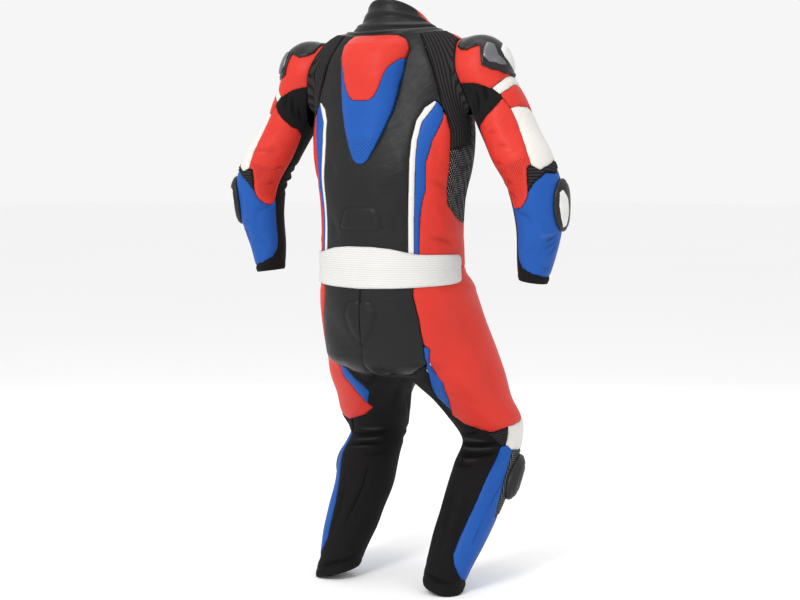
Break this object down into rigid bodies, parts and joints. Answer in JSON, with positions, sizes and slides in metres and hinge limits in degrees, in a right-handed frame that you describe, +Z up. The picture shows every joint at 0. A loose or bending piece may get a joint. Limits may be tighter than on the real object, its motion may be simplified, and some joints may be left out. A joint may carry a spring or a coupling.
{
  "type": "motorcycle race suit",
  "caption": "One-piece leather motorcycle race suit, worn upright and hollow, with a stand collar, a back hump, ribbed stretch shoulders, a waist belt, armour plates and sliders.",
  "frame": {"origin": "middle of the shoulder line, inside the neck opening, where the wearer's shoulders carry the suit", "axes": "+Z up, the chest faces -Y and the back +Y, the wearer's left is +X"},
  "size_m": [0.8981, 0.4246, 1.3711],
  "materials": {
    "white_leather": "grained, satin",
    "blue_leather": "grained, satin",
    "red_leather": "grained, satin",
    "black_stretch": "matt knit",
    "black_mesh": "textured, matt",
    "hard_black": "moulded, satin",
    "slider_plastic": "moulded, matt",
    "black_leather": "grained, semi-matt",
    "zip_black": "woven tape, matt",
    "white_elastic": "ribbed, matt"
  },
  "bodies": {
    "root": {"white_stripe_left": "white_leather", "white_stripe_right": "white_leather", "blue_stripe_left": "blue_leather", "blue_stripe_right": "blue_leather", "red_side_left": "red_leather", "red_side_right": "red_leather", "ribbed_shoulder_left": "black_stretch", "ribbed_shoulder_right": "black_stretch", "mesh_flank_left": "black_mesh", "mesh_flank_right": "black_mesh", "front_panel_left": "red_leather", "front_panel_right": "red_leather", "arm_band_left": "white_leather", "arm_band_right": "white_leather", "shoulder_red_left": "red_leather", "shoulder_red_right": "red_leather", "outer_arm_red_left": "red_leather", "outer_arm_red_right": "red_leather", "upper_arm_white_left": "white_leather", "upper_arm_white_right": "white_leather", "elbow_ribs_left": "black_stretch", "elbow_ribs_right": "black_stretch", "upper_arm_red_left": "red_leather", "upper_arm_red_right": "red_leather", "forearm_blue_left": "blue_leather", "forearm_blue_right": "blue_leather", "arm_stretch_left": "black_stretch", "arm_stretch_right": "black_stretch", "shoulder_plate_left": "hard_black", "shoulder_plate_right": "hard_black", "elbow_slider_left": "slider_plastic", "elbow_slider_right": "slider_plastic", "thigh_blue_left": "blue_leather", "thigh_blue_right": "blue_leather", "seat_left": "black_leather", "seat_right": "black_leather", "thigh_red_left": "red_leather", "thigh_red_right": "red_leather", "knee_white_left": "white_leather", "knee_white_right": "white_leather", "knee_ribs_left": "black_stretch", "knee_ribs_right": "black_stretch", "shin_blue_left": "blue_leather", "shin_blue_right": "blue_leather", "knee_base_left": "black_mesh", "knee_base_right": "black_mesh", "front_thigh_left": "black_leather", "front_thigh_right": "black_leather", "leg_stretch_left": "black_stretch", "leg_stretch_right": "black_stretch", "knee_slider_left": "slider_plastic", "knee_slider_right": "slider_plastic", "front_zip": "zip_black", "back_panel": "black_leather", "waist_belt": "white_elastic", "hump_red": "red_leather", "hump_blue": "blue_leather", "collar_back": "black_leather", "collar_front": "red_leather"}
  },
  "joints": []
}
